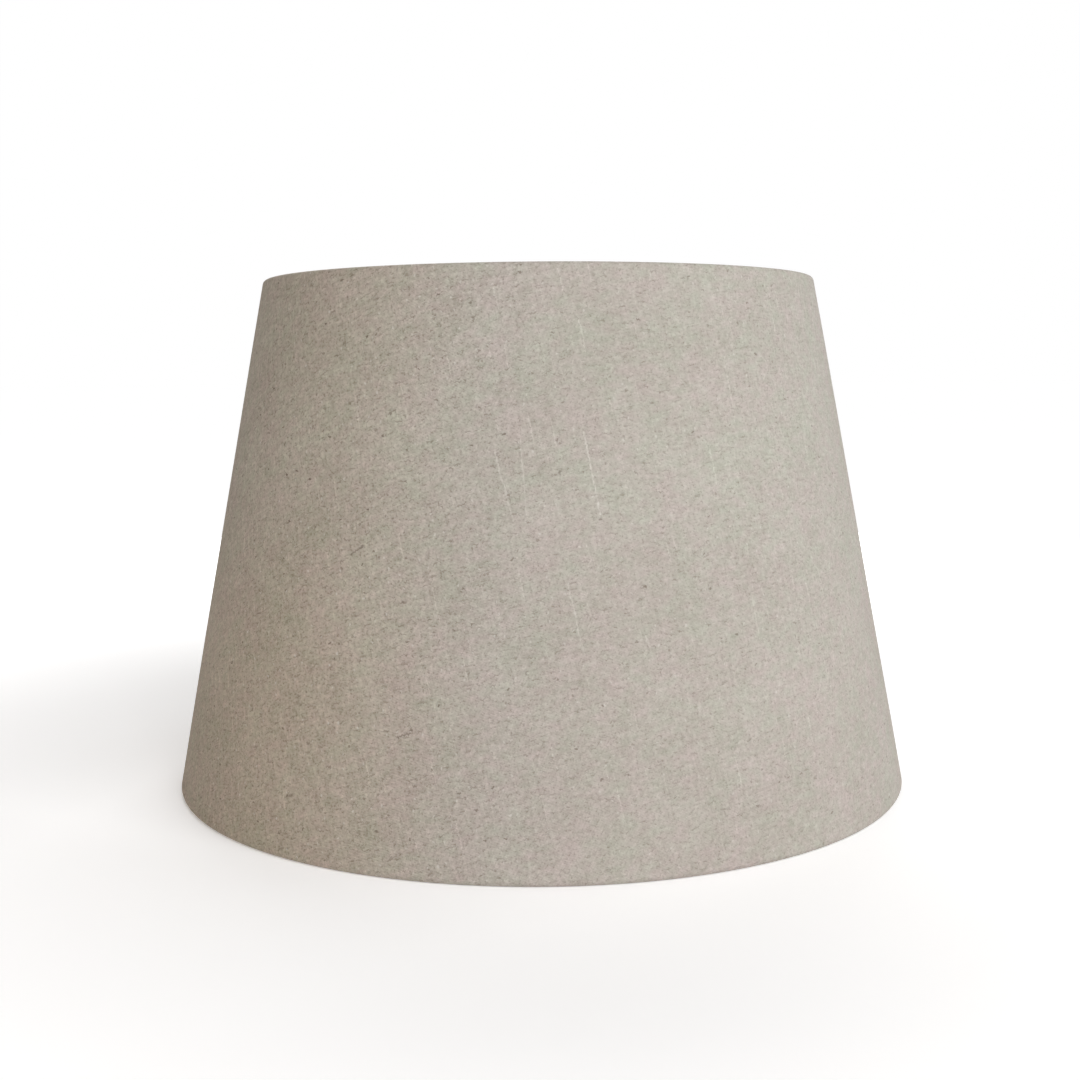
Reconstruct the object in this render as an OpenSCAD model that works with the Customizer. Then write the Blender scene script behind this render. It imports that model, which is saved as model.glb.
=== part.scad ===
// Tapered hardback lamp shade with rolled linen edges and a reversible gimbal fitter.
// Millimetres. +Z is up, the shade stands on z = 0 and is centred on the Z axis.
// The gimbal turns about the X axis direction, and the back seam is on the +Y side.

/* [Shade] */
// Outside diameter across the lower rolled edge
base_d = 406; // [380:1:420]
// Outside diameter across the upper rolled edge
top_d = 303; // [280:1:320]
// Height over both rolled edges
shade_h = 277; // [240:1:300]

/* [Cloth and lining] */
// Thickness of the linen
cloth_t = 0.5; // [0.4:0.1:0.7]
// Thickness of the stiff lining
lining_t = 0.4; // [0.3:0.1:0.6]
// Width of the slit where the two ends of the lining meet
lining_slit_w = 0.4; // [0.2:0.1:1]
// Width of the lap at the back seam
lap_w = 12; // [9:1:16]
// Thickness of the tape under the lap
seam_tape_t = 0.15; // [0.1:0.05:0.2]

/* [Rings] */
// Diameter of the wire in the top and bottom rings
ring_wire_d = 3; // [2.8:0.1:3.6]
// Thickness of the tape wound on each ring
ring_tape_t = 0.15; // [0.1:0.05:0.2]

/* [Pivots] */
// How far the pivot axis lies below the top ring's centre
pivot_drop = 10; // [9:0.5:14]
// Width of each lug
lug_w = 9; // [8:0.5:11]
// Thickness of each lug
lug_t = 1.5; // [1.2:0.1:2]
// Diameter of the rivet's shank
rivet_d = 4; // [3:0.5:4]
// Diameter of the rivet's heads
rivet_head_d = 6.6; // [6:0.2:7]

/* [Gimbal] */
// How far the fitter ring's upper face lies below the top edge of the shade
fitter_drop = 40; // [32:1:60]
// Diameter of the arm's wire
arm_wire_d = 3.5; // [3:0.1:4]
// Diameter of the flattened eye at the end of each arm
eye_d = 10; // [9:0.5:10]
// Thickness of the flattened eye
eye_t = 1.6; // [1.4:0.1:2]
// Radius of the bends in each arm
arm_bend_r = 8; // [6:1:9]

/* [Fitter] */
// Diameter of the hole in the fitter ring
fitter_hole_d = 42; // [42:1:43]
// Outside diameter of the fitter ring
fitter_d = 59; // [56:1:64]
// Thickness of the fitter ring's steel
fitter_t = 1.2; // [1:0.1:1.5]
// Height of the collar round the hole in the fitter ring
fitter_collar_h = 4; // [3:0.5:6]
// Diameter of the hole in the reducer ring
reducer_hole_d = 29; // [28:0.5:30]
// Outside diameter of the reducer ring's flange
reducer_flange_d = 46.5; // [45:0.5:47]
// Thickness of the reducer ring's flange
reducer_flange_t = 1.6; // [1.2:0.1:2]
// Depth of the reducer ring's skirt below its flange
reducer_skirt_h = 5; // [5:0.5:8]
// Thickness of the reducer ring's walls
reducer_wall_t = 1.4; // [1.2:0.1:1.6]
// Number of ribs under the reducer ring
reducer_ribs = 8; // [4:1:12]

/* [Hidden] */
$fn = 180;

linen = [0.72, 0.68, 0.61];
lining_white = [0.94, 0.93, 0.9];
tape_colour = [0.9, 0.88, 0.8];
coated_steel = [0.9, 0.9, 0.88];
bright_steel = [0.75, 0.76, 0.78];
reducer_white = [0.93, 0.93, 0.91];

LEFT = -1;
RIGHT = 1;

// The layers are stacked outwards from the ring's wire, a hair apart.
layer_gap = 0.04;
ring_wire_r = ring_wire_d / 2;
tape_in_r = ring_wire_r + layer_gap;
tape_out_r = tape_in_r + ring_tape_t;
lining_in = tape_out_r + layer_gap;
cloth_in = lining_in + lining_t + layer_gap;
roll_r = cloth_in + cloth_t;
// Depth of the flat that the lower rolled edge is pressed to where it stands
foot_flat = 0.08;
// Distance from the wire's centre line to the tucked end of the cloth
tuck_in = ring_wire_r * 0.8;

// Centres of the two rings' wires, in the plane of the section
bottom_wire = [base_d / 2 - roll_r, roll_r - foot_flat];
top_wire = [top_d / 2 - roll_r, shade_h - roll_r];
wall_run = top_wire - bottom_wire;
slant = norm(wall_run);
taper_deg = atan2(-wall_run.x, wall_run.y);

// The lap stands proud of the wall, so it starts above the widest part of the lower edge.
lap_foot = 8;
lap_tape_in = roll_r + layer_gap;
lap_in = lap_tape_in + seam_tape_t + layer_gap;
lap_t = 2 * cloth_t;
lap_root_w = 2;
lap_sweep_deg = 12;
back_deg = 90;
// Where the profile of each turned layer starts, clear of the lugs and the lap
profile_deg = -45;

// The pivots: lug, eye and rivet heads along the X direction
pivot_z = top_wire.y - pivot_drop;
weld_gap = 0.1;
lug_out_x = top_wire.x - ring_wire_r - weld_gap;
lug_in_x = lug_out_x - lug_t;
lug_rise = 1;
swing_gap = 0.3;
running_gap = 0.06;
snug_gap = 0.02;
eye_out_x = lug_in_x - swing_gap;
eye_in_x = eye_out_x - eye_t;
head_t = 1.5;
head_in_x = eye_in_x - swing_gap;
// Room round each lug in the rolled edge: at its sides and top, and at its back
notch_gap = 0.6;
notch_back = 0.2;

// The arm's wire lies just inside the outer face of its eye.
fitter_top_z = shade_h - fitter_drop;
arm_x = eye_out_x - arm_wire_d / 2 - 0.15;
arm_foot_z = fitter_top_z + arm_wire_d / 2 + snug_gap;
arm_end_x = reducer_flange_d / 2 + 1.2;
arm_foot_run = 13;
arm_drop = 16;
// A bend is made of short straight steps, joined by balls a hair wider than the wire.
bend_step_deg = 15;
ball_gap = 0.1;
// The neck leaves the round of the eye at this angle below its centre, and ends neck_h below.
neck_deg = 33;
neck_h = 9;

reducer_fit_gap = 0.2;
reducer_spigot_r = fitter_hole_d / 2 - reducer_fit_gap;
reducer_seat_z = fitter_top_z + snug_gap;
rib_t = 1.2;
cut = 1;

// Moves a section drawn beside the wire to a place along the wall, 0 at the bottom ring.
// There +X points out of the wall and +Y points up the slope.
module on_wall(distance) {
    translate(bottom_wire + distance * wall_run / slant)
        rotate([0, 0, taper_deg])
            children();
}

// Turns a section about the Z axis.
module turned() {
    rotate([0, 0, profile_deg])
        rotate_extrude()
            children();
}

// A layer of the wall between two distances from the bottom wire's centre
module wall_strip(inner, thickness, from, to) {
    on_wall(from)
        translate([inner, 0])
            square([thickness, to - from]);
}

// A shape as wide as a whole rolled edge at both ends and as thin as the wall between them
module rolled_outline(edge_r) {
    on_wall(0)
        circle(r = edge_r);
    on_wall(slant)
        circle(r = edge_r);
    wall_strip(tuck_in, edge_r - tuck_in, 0, slant);
}

// The cloth runs up the wall and turns round each ring until it is tucked behind it.
module cover_section() {
    difference() {
        rolled_outline(roll_r);
        rolled_outline(cloth_in);
        translate([0, -2 * roll_r])
            square([base_d, 2 * roll_r]);
    }
}

// A strip that runs up the back of the wall, between two places across it
module back_strip(inner, thickness, left, right) {
    intersection() {
        rotate([0, 0, back_deg - lap_sweep_deg / 2])
            rotate_extrude(angle = lap_sweep_deg)
                wall_strip(inner, thickness, lap_foot, slant);
        translate([left, 0, -cut])
            cube([right - left, base_d, shade_h + 2 * cut]);
    }
}

// The room that a lug needs through the rolled edge
module lug_notch(side) {
    notch_in_x = top_wire.x - roll_r - cut;
    notch_w = lug_w + 2 * notch_gap;
    notch_h = roll_r + lug_rise + cut + notch_gap;
    mirror([side < 0 ? 1 : 0, 0, 0])
        translate([notch_in_x, -notch_w / 2, top_wire.y - roll_r - cut])
            cube([lug_out_x + notch_back - notch_in_x, notch_w, notch_h]);
}

module fabric_cover() {
    color(linen)
        union() {
            difference() {
                turned()
                    cover_section();
                lug_notch(LEFT);
                lug_notch(RIGHT);
            }
            back_strip(lap_in, lap_t, -lap_w / 2, lap_w / 2);
            back_strip(roll_r - cloth_t / 2, lap_in - roll_r + cloth_t,
                       lap_w / 2 - lap_root_w, lap_w / 2);
        }
}

module hardback_lining() {
    color(lining_white)
        difference() {
            turned()
                wall_strip(lining_in, lining_t, 0, slant);
            translate([-lining_slit_w / 2, 0, -cut])
                cube([lining_slit_w, base_d, shade_h + 2 * cut]);
        }
}

module seam_tape() {
    color(tape_colour)
        back_strip(lap_tape_in, seam_tape_t, -lap_w / 2 + 0.5, lap_w / 2 - lap_root_w - 0.3);
}

module wire_ring(centre) {
    color(coated_steel)
        turned()
            translate(centre)
                circle(r = ring_wire_r);
}

module ring_tape(centre) {
    color(tape_colour)
        turned()
            translate(centre)
                difference() {
                    circle(r = tape_out_r);
                    circle(r = tape_in_r);
                }
}

module top_ring() {
    wire_ring(top_wire);
}

module bottom_ring() {
    wire_ring(bottom_wire);
}

module top_ring_tape() {
    difference() {
        ring_tape(top_wire);
        lug_notch(LEFT);
        lug_notch(RIGHT);
    }
}

module bottom_ring_tape() {
    ring_tape(bottom_wire);
}

// Turns a shape drawn in the XY plane to face out along the +X side, standing on x = 0.
module facing_x() {
    rotate([90, 0, 90])
        children();
}

// A drilled tab that hangs from the top ring, with a round lower end about the pivot
module pivot_lug(side) {
    lug_top = pivot_drop + lug_rise;
    color(bright_steel)
        mirror([side < 0 ? 1 : 0, 0, 0])
            translate([lug_in_x, 0, pivot_z])
                facing_x()
                    linear_extrude(lug_t)
                        difference() {
                            union() {
                                circle(d = lug_w);
                                translate([-lug_w / 2, 0])
                                    square([lug_w, lug_top]);
                            }
                            circle(r = rivet_d / 2 + snug_gap);
                        }
}

// One domed rivet head, its flat side on y = 0 and its dome towards +Y
module head_section() {
    dome_r = (pow(rivet_head_d / 2, 2) + pow(head_t, 2)) / (2 * head_t);
    intersection() {
        translate([0, head_t - dome_r])
            circle(r = dome_r);
        square([rivet_head_d / 2, head_t]);
    }
}

module pivot_rivet(side) {
    outer_head = lug_out_x + snug_gap - head_in_x;
    color(bright_steel)
        mirror([side < 0 ? 1 : 0, 0, 0])
            translate([head_in_x, 0, pivot_z])
                rotate([0, 90, 0])
                    rotate_extrude() {
                        square([rivet_d / 2, outer_head]);
                        mirror([0, 1])
                            head_section();
                        translate([0, outer_head])
                            head_section();
                    }
}

function unit(v) = v / norm(v);
function left_of(v) = [-v.y, v.x];
function turn_deg(u, v) = atan2(u.x * v.y - u.y * v.x, u * v);

// A corner of a path as points on an arc that leaves one leg and joins the next
function bend_points(a, b, c, r) =
    let (along = unit(b - a),
         turn = turn_deg(along, unit(c - b)),
         to_centre = left_of(along) * sign(turn) * r,
         centre = b - along * r * tan(abs(turn) / 2) + to_centre,
         start_deg = atan2(-to_centre.y, -to_centre.x),
         steps = max(1, round(abs(turn) / bend_step_deg)))
    [for (i = [0 : steps])
        let (at_deg = start_deg + turn * i / steps)
        centre + r * [cos(at_deg), sin(at_deg)]];

// A path whose inner points are bent to a radius
function rounded(path, r) =
    [path[0],
     for (i = [1 : len(path) - 2])
         each bend_points(path[i - 1], path[i], path[i + 1], r),
     path[len(path) - 1]];

// A round wire along a path in the XY plane, with a ball at each inner point
module wire(path, d) {
    for (i = [0 : len(path) - 2]) {
        run = path[i + 1] - path[i];
        translate([path[i].x, path[i].y, 0])
            rotate([0, 0, atan2(run.y, run.x)])
                rotate([0, 90, 0]) {
                    cylinder(h = norm(run), d = d);
                    if (i > 0)
                        sphere(d = d + ball_gap);
                }
    }
}

// The flattened end of the wire: a round eye with a neck that narrows to the wire
module arm_eye() {
    neck_x = eye_d / 2 * cos(neck_deg);
    neck_y = eye_d / 2 * sin(neck_deg);
    translate([eye_in_x, 0, pivot_z])
        facing_x()
            linear_extrude(eye_t)
                difference() {
                    union() {
                        circle(d = eye_d);
                        polygon([[-neck_x, -neck_y], [neck_x, -neck_y],
                                 [arm_wire_d / 2, -neck_h], [-arm_wire_d / 2, -neck_h]]);
                    }
                    circle(r = rivet_d / 2 + running_gap);
                }
}

module gimbal_arm(side) {
    arm_path = [[arm_x, pivot_z - eye_d / 2 - 1.2], [arm_x, pivot_z - arm_drop],
                [arm_end_x + arm_foot_run, arm_foot_z], [arm_end_x, arm_foot_z]];
    color(coated_steel)
        mirror([side < 0 ? 1 : 0, 0, 0])
            union() {
                arm_eye();
                rotate([90, 0, 0])
                    wire(rounded(arm_path, arm_bend_r), arm_wire_d);
            }
}

module fitter_ring() {
    hole_r = fitter_hole_d / 2;
    rim_w = (fitter_d - fitter_hole_d) / 2;
    color(coated_steel)
        turned()
            translate([hole_r, fitter_top_z]) {
                translate([0, -fitter_t])
                    square([rim_w - fitter_t / 2, fitter_t]);
                translate([rim_w - fitter_t / 2, -fitter_t / 2])
                    circle(d = fitter_t);
                translate([0, -fitter_collar_h])
                    square([fitter_t, fitter_collar_h]);
            }
}

module reducer_ring() {
    hole_r = reducer_hole_d / 2;
    flange_r = reducer_flange_d / 2;
    edge_r = reducer_flange_t / 2;
    rib_in_r = hole_r + reducer_wall_t / 2;
    rib_out_r = reducer_spigot_r - reducer_wall_t / 2;
    color(reducer_white)
        translate([0, 0, reducer_seat_z]) {
            rotate_extrude() {
                translate([hole_r, 0])
                    square([flange_r - edge_r - hole_r, reducer_flange_t]);
                translate([flange_r - edge_r, edge_r])
                    circle(r = edge_r);
                translate([hole_r, -reducer_skirt_h])
                    square([reducer_wall_t, reducer_skirt_h]);
                translate([reducer_spigot_r - reducer_wall_t, -reducer_skirt_h])
                    square([reducer_wall_t, reducer_skirt_h]);
            }
            for (i = [0 : reducer_ribs - 1])
                rotate([0, 0, (i + 0.5) * 360 / reducer_ribs])
                    translate([rib_in_r, -rib_t / 2, -reducer_skirt_h + cut])
                        cube([rib_out_r - rib_in_r, rib_t, reducer_skirt_h]);
        }
}

module left_pivot_lug() { pivot_lug(LEFT); }
module right_pivot_lug() { pivot_lug(RIGHT); }
module left_pivot_rivet() { pivot_rivet(LEFT); }
module right_pivot_rivet() { pivot_rivet(RIGHT); }
module left_gimbal_arm() { gimbal_arm(LEFT); }
module right_gimbal_arm() { gimbal_arm(RIGHT); }

fabric_cover();
hardback_lining();
seam_tape();
top_ring();
bottom_ring();
top_ring_tape();
bottom_ring_tape();
left_pivot_lug();
right_pivot_lug();
left_pivot_rivet();
right_pivot_rivet();
left_gimbal_arm();
right_gimbal_arm();
fitter_ring();
reducer_ring();
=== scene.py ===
"""Looks of a tapered hardback lamp shade: natural linen rolled over two wire rings, with a gimbal fitter.

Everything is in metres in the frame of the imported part: +Z up, the shade stands on z = 0, its back seam is
at +Y, and the gimbal turns about X. An azimuth is measured round the axis from the front (-Y) towards +X.
"""

import math

import bpy
import numpy as np
from mathutils import Matrix, Vector


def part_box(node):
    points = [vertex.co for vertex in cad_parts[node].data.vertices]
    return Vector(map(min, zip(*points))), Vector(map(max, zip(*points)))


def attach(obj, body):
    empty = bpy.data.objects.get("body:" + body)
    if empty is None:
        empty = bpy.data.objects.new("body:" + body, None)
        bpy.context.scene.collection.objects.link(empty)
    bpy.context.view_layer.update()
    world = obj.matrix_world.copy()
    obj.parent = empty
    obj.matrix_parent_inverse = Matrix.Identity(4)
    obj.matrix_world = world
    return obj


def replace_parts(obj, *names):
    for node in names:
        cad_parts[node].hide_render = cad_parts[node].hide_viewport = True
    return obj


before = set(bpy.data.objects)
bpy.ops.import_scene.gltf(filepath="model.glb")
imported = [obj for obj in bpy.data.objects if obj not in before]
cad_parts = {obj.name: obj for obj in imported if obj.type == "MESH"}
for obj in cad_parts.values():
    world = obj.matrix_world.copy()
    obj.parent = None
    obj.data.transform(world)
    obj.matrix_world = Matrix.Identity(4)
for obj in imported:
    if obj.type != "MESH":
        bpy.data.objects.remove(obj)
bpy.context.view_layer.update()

MM = 0.001
TAU = 2 * math.pi

# ---------------------------------------------------------------- sizes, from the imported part


def wire_centre(node):
    """(radius, height) of the middle of a ring node's round wire."""
    low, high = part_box(node)
    wire_r = (high.z - low.z) / 2
    return np.array([high.x - wire_r, (high.z + low.z) / 2])


BOTTOM_WIRE = wire_centre("bottom_ring")
TOP_WIRE = wire_centre("top_ring")
ROLL_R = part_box("fabric_cover")[1].x - BOTTOM_WIRE[0]
SLANT = float(np.linalg.norm(TOP_WIRE - BOTTOM_WIRE))
UP = (TOP_WIRE - BOTTOM_WIRE) / SLANT
OUT = np.array([UP[1], -UP[0]])
TAPER = math.atan2(-UP[0], UP[1])

CLOTH_T = 0.5 * MM
HEM_IN_R = ROLL_R - CLOTH_T
TUCK_DEG = 297.0  # how far the cloth turns round each ring
LAP_W = 12 * MM
LAP_LIFT = 0.23 * MM  # room for the tape under the lap
LAP_T = 2 * CLOTH_T

RIVET_LOW, RIVET_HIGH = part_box("right_pivot_rivet")
PIVOT_Z = (RIVET_LOW.z + RIVET_HIGH.z) / 2
LUG_LOW, LUG_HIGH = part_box("right_pivot_lug")
ARM_LOW, ARM_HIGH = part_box("right_gimbal_arm")
FITTER_LOW, FITTER_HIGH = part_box("fitter_ring")
REDUCER_LOW, REDUCER_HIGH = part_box("reducer_ring")
RIVET_R = 2.0 * MM
NOTCH_HALF = (LUG_HIGH.y - LUG_LOW.y) / 2 + 0.6 * MM

# Grain of the cloth: its threads stand parallel to the wall at this azimuth, so they lean at the front.
GRAIN_AZ = math.radians(67)


def wall_point(out, up):
    """(radius, height) of a point given across and along the wall, from the bottom wire's centre."""
    return BOTTOM_WIRE + np.multiply.outer(out, OUT) + np.multiply.outer(up, UP)


def on_axis(radius, height, azimuth):
    """3-D points of (radius, height) turned to an azimuth."""
    return np.stack([radius * np.sin(azimuth), -radius * np.cos(azimuth), height + 0 * azimuth], -1)


def flat_uv(slope, azimuth):
    """Place on the flat-cut cloth, in metres, along the weft and the warp threads."""
    apex = (BOTTOM_WIRE[0] + ROLL_R * OUT[0]) / math.sin(TAPER)
    turn = (azimuth - GRAIN_AZ) * math.sin(TAPER)
    reach = apex - slope
    return np.stack([reach * np.sin(turn), -reach * np.cos(turn) + apex], -1)


# ---------------------------------------------------------------- mesh building


def make_piece(name, points, faces, body, material, uv=None, sharp_deg=40):
    """A smooth-shaded mesh riding on a body. uv gives the place on the flat cloth for every face corner."""
    mesh = bpy.data.meshes.new(name)
    mesh.from_pydata([tuple(p) for p in points], [], [tuple(map(int, f)) for f in faces])
    mesh.validate()
    if uv is not None:
        layer = mesh.uv_layers.new(name="flat")
        layer.data.foreach_set("uv", np.asarray(uv, np.float32).reshape(-1))
    mesh.polygons.foreach_set("use_smooth", [True] * len(mesh.polygons))
    mesh.set_sharp_from_angle(angle=math.radians(sharp_deg))
    piece = bpy.data.objects.new(name, mesh)
    bpy.context.scene.collection.objects.link(piece)
    piece.data.materials.append(material)
    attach(piece, body)
    return piece


def tube_faces(columns, rows, close_columns=True):
    """Quads between columns of points whose rows each make a closed loop."""
    i = np.arange(columns if close_columns else columns - 1)
    j = np.arange(rows)
    a, b = np.meshgrid(i, j, indexing="ij")
    a2, b2 = (a + 1) % columns, (b + 1) % rows
    return np.stack([a * rows + b, a2 * rows + b, a2 * rows + b2, a * rows + b2], -1).reshape(-1, 4)


def tube_uv(values):
    """Corner values for tube_faces, from values at (columns + 1, rows + 1) or (columns, rows + 1)."""
    a, b = values[:-1, :-1], values[1:, :-1]
    c, d = values[1:, 1:], values[:-1, 1:]
    return np.stack([a, b, c, d], 2).reshape(-1, 2)


def rounded_loop(corners, radii, steps=4):
    """A closed polygon with each corner rounded to its radius."""
    corners = [np.array(c, float) for c in corners]
    out = []
    for k, corner in enumerate(corners):
        before, after = corners[k - 1] - corner, corners[(k + 1) % len(corners)] - corner
        if radii[k] <= 0:
            out.append(corner)
            continue
        u, v = before / np.linalg.norm(before), after / np.linalg.norm(after)
        half = math.acos(max(-1, min(1, float(u @ v)))) / 2
        reach = min(radii[k] / math.tan(half), 0.49 * min(np.linalg.norm(before), np.linalg.norm(after)))
        radius = reach * math.tan(half)
        bisector = (u + v) / np.linalg.norm(u + v)
        centre = corner + bisector * radius / math.sin(half)
        start, end = corner + u * reach - centre, corner + v * reach - centre
        a0 = math.atan2(start[1], start[0])
        sweep = (math.atan2(end[1], end[0]) - a0 + math.pi) % TAU - math.pi
        for t in range(steps + 1):
            turn = a0 + sweep * t / steps
            out.append(centre + radius * np.array([math.cos(turn), math.sin(turn)]))
    return np.array(out)


def lathe(profile, segments):
    """Points and faces of a closed (radius, height) loop turned about the Z axis."""
    azimuth = np.arange(segments) * TAU / segments
    points = on_axis(profile[None, :, 0], profile[None, :, 1], azimuth[:, None])
    return points.reshape(-1, 3), tube_faces(segments, len(profile))


def turned_outwards(points, faces):
    """Faces with their winding reversed if the closed shape is inside out."""
    p = np.asarray(points)
    volume = 0.0
    for f in faces:
        for k in range(1, len(f) - 1):
            volume += float(np.dot(p[f[0]], np.cross(p[f[k]], p[f[k + 1]])))
    return [tuple(f)[::-1] for f in faces] if volume < 0 else [tuple(f) for f in faces]


class Shape:
    """Several closed lumps that make one piece."""

    def __init__(self):
        self.points, self.faces = [], []

    def add(self, points, faces):
        base = len(self.points)
        self.points += [tuple(p) for p in points]
        self.faces += [tuple(int(i) + base for i in f) for f in turned_outwards(points, faces)]

    def mirrored_x(self):
        other = Shape()
        other.points = [(-x, y, z) for x, y, z in self.points]
        other.faces = [f[::-1] for f in self.faces]
        return other

    def piece(self, name, body, slot, material, sharp_deg=40):
        return make_piece(name, self.points, self.faces, body, material, sharp_deg=sharp_deg)


def loft(rings):
    """Points and faces of a closed tube through rings of points, capped at both ends."""
    columns, rows = len(rings), len(rings[0])
    faces = [tuple(f) for f in tube_faces(columns, rows, close_columns=False)]
    faces.append(tuple(range(rows))[::-1])
    faces.append(tuple((columns - 1) * rows + k for k in range(rows)))
    return np.concatenate(rings), faces


def blob(centre, radii, seed, rings=8, segments=12):
    """A small uneven lump of weld metal."""
    uneven = np.random.default_rng(seed)
    circles = []
    for k in range(rings + 1):
        lat = math.pi * (0.04 + 0.92 * k / rings)
        ring = []
        for m in range(segments):
            lon = TAU * m / segments
            p = np.array([math.sin(lat) * math.cos(lon), -math.cos(lat), math.sin(lat) * math.sin(lon)])
            ring.append(p * (1 + 0.05 * uneven.standard_normal()) * np.array(radii))
        circles.append(np.array(ring))
    points, faces = loft(circles)
    return points + np.array(centre), faces


def waves(seed, count, low, high):
    """A smooth unevenness round the axis and up the wall, about -1 to 1, the same on every run."""
    chance = np.random.default_rng(seed)
    turns = chance.integers(low, high, count)
    phases = chance.uniform(0, TAU, (count, 2))
    climbs = chance.uniform(-1, 1, count) * turns

    def value(azimuth, up):
        total = 0.0
        for n, (p, q), c in zip(turns, phases, climbs):
            total = total + np.sin(n * azimuth + p) * np.sin(c * up / TOP_WIRE[0] + q)
        return total * 1.6 / math.sqrt(count)

    return value


def smooth(x, low, high):
    """0 below low, 1 above high, and an S-shaped step between."""
    t = np.clip((x - low) / (high - low), 0, 1)
    return t * t * (3 - 2 * t)


# ---------------------------------------------------------------- material building


class Finish:
    """A material and short ways to add nodes to it. Lengths inside the pattern nodes are in millimetres."""

    def __init__(self, name):
        self.material = bpy.data.materials.new(name)
        self.material.use_nodes = True
        self.tree = self.material.node_tree
        self.tree.nodes.clear()
        output = self.tree.nodes.new("ShaderNodeOutputMaterial")
        self.shader = self.tree.nodes.new("ShaderNodeBsdfPrincipled")
        self.tree.links.new(self.shader.outputs[0], output.inputs[0])

    def put(self, socket, value):
        """Link a socket to another node's output, or set its value; None leaves it alone."""
        if isinstance(value, bpy.types.NodeSocket):
            self.tree.links.new(value, socket)
        elif value is not None:
            socket.default_value = value

    def math(self, operation, a, b=None, c=None, clamp=False):
        node = self.tree.nodes.new("ShaderNodeMath")
        node.operation, node.use_clamp = operation, clamp
        for socket, value in zip(node.inputs, (a, b, c)):
            self.put(socket, value)
        return node.outputs[0]

    def add(self, *values):
        total = values[0]
        for value in values[1:]:
            total = self.math("ADD", total, value)
        return total

    def times(self, a, b):
        return self.math("MULTIPLY", a, b)

    def vector(self, x, y, z=0.0):
        node = self.tree.nodes.new("ShaderNodeCombineXYZ")
        for socket, value in zip(node.inputs, (x, y, z)):
            self.put(socket, value)
        return node.outputs[0]

    def split(self, vector):
        node = self.tree.nodes.new("ShaderNodeSeparateXYZ")
        self.put(node.inputs[0], vector)
        return node.outputs

    def scaled(self, vector, scale, offset=(0, 0, 0)):
        node = self.tree.nodes.new("ShaderNodeMapping")
        self.put(node.inputs["Vector"], vector)
        node.inputs["Scale"].default_value = scale
        node.inputs["Location"].default_value = offset
        return node.outputs[0]

    def flat_mm(self):
        """Place on the cloth in millimetres."""
        node = self.tree.nodes.new("ShaderNodeUVMap")
        node.uv_map = "flat"
        return self.scaled(node.outputs[0], (1000, 1000, 1000))

    def solid_mm(self):
        """Place in the part in millimetres."""
        node = self.tree.nodes.new("ShaderNodeTexCoord")
        return self.scaled(node.outputs["Object"], (1000, 1000, 1000))

    def noise(self, vector, size, detail=2.0, roughness=0.5, offset=(0, 0, 0), flat=True):
        """Noise from about -1 to 1, with features of that size (one number, or one per direction)."""
        size = size if isinstance(size, tuple) else (size,) * 3
        node = self.tree.nodes.new("ShaderNodeTexNoise")
        node.noise_dimensions = "2D" if flat else "3D"
        self.put(node.inputs["Vector"], self.scaled(vector, tuple(1 / s for s in size), offset))
        node.inputs["Scale"].default_value = 1.0
        node.inputs["Detail"].default_value = detail
        node.inputs["Roughness"].default_value = roughness
        return self.math("MULTIPLY_ADD", node.outputs["Fac"], 4.0, -2.0)

    def marks(self, vector, cell, half, share, offset=(0, 0, 0), lean=0.0):
        """Scattered marks: one may lie in each cell of about cell = (across, along), with half sizes half.
        share is the part of cells that hold one. Gives (strength 0 to 1, a random number per mark)."""
        placed = self.scaled(vector, (1 / cell[0], 1 / cell[1], 1), offset)
        node = self.tree.nodes.new("ShaderNodeTexVoronoi")
        node.voronoi_dimensions = "2D"
        self.put(node.inputs["Vector"], placed)
        node.inputs["Scale"].default_value = 1.0
        gap = self.tree.nodes.new("ShaderNodeVectorMath")
        gap.operation = "SUBTRACT"
        self.put(gap.inputs[0], placed)
        self.put(gap.inputs[1], node.outputs["Position"])
        x, y, _ = self.split(gap.outputs[0])
        x, y = self.times(x, cell[0]), self.times(y, cell[1])
        chance = self.split(node.outputs["Color"])
        if lean:
            tilt = self.math("MULTIPLY_ADD", chance[2], 2 * lean, -lean)
            x, y = self.math("SUBTRACT", x, self.times(y, tilt)), self.add(y, self.times(x, tilt))
        x, y = self.times(x, 1 / half[0]), self.times(y, 1 / half[1])
        reach = self.math("MULTIPLY_ADD", chance[0], 0.8, 0.6)
        far = self.math("DIVIDE", self.add(self.times(x, x), self.times(y, y)), reach)
        inside = self.ramp(far, 1.0, 0.35)
        picked = self.math("LESS_THAN", chance[1], share)
        return self.times(inside, picked), chance[0]

    def near(self, vector, start, end, half):
        """1 along the line between two points, falling smoothly to 0 at half its width away."""
        along = Vector((end[0] - start[0], end[1] - start[1], 0))
        away = self.vector_math("SUBTRACT", vector, (*start, 0))
        share = self.vector_math("DOT_PRODUCT", away, along / max(along.length_squared, 1e-9), out=1)
        foot = self.vector_math("SCALE", along, scale=self.math("ADD", share, 0.0, clamp=True))
        gap = self.vector_math("LENGTH", self.vector_math("SUBTRACT", away, foot), out=1)
        return self.ramp(gap, half, half * 0.3)

    def vector_math(self, operation, a, b=None, scale=None, out=0):
        node = self.tree.nodes.new("ShaderNodeVectorMath")
        node.operation = operation
        self.put(node.inputs[0], a)
        self.put(node.inputs[1], b)
        if scale is not None:
            self.put(node.inputs[3], scale)
        return node.outputs[out]

    def ramp(self, value, low, high, to_low=0.0, to_high=1.0):
        """Value from low to high turned smoothly to 0 to 1, or to another range."""
        node = self.tree.nodes.new("ShaderNodeMapRange")
        node.interpolation_type = "SMOOTHSTEP"
        self.put(node.inputs[0], value)
        for socket, number in zip(list(node.inputs)[1:5], (low, high, to_low, to_high)):
            socket.default_value = number
        return node.outputs[0]

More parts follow.
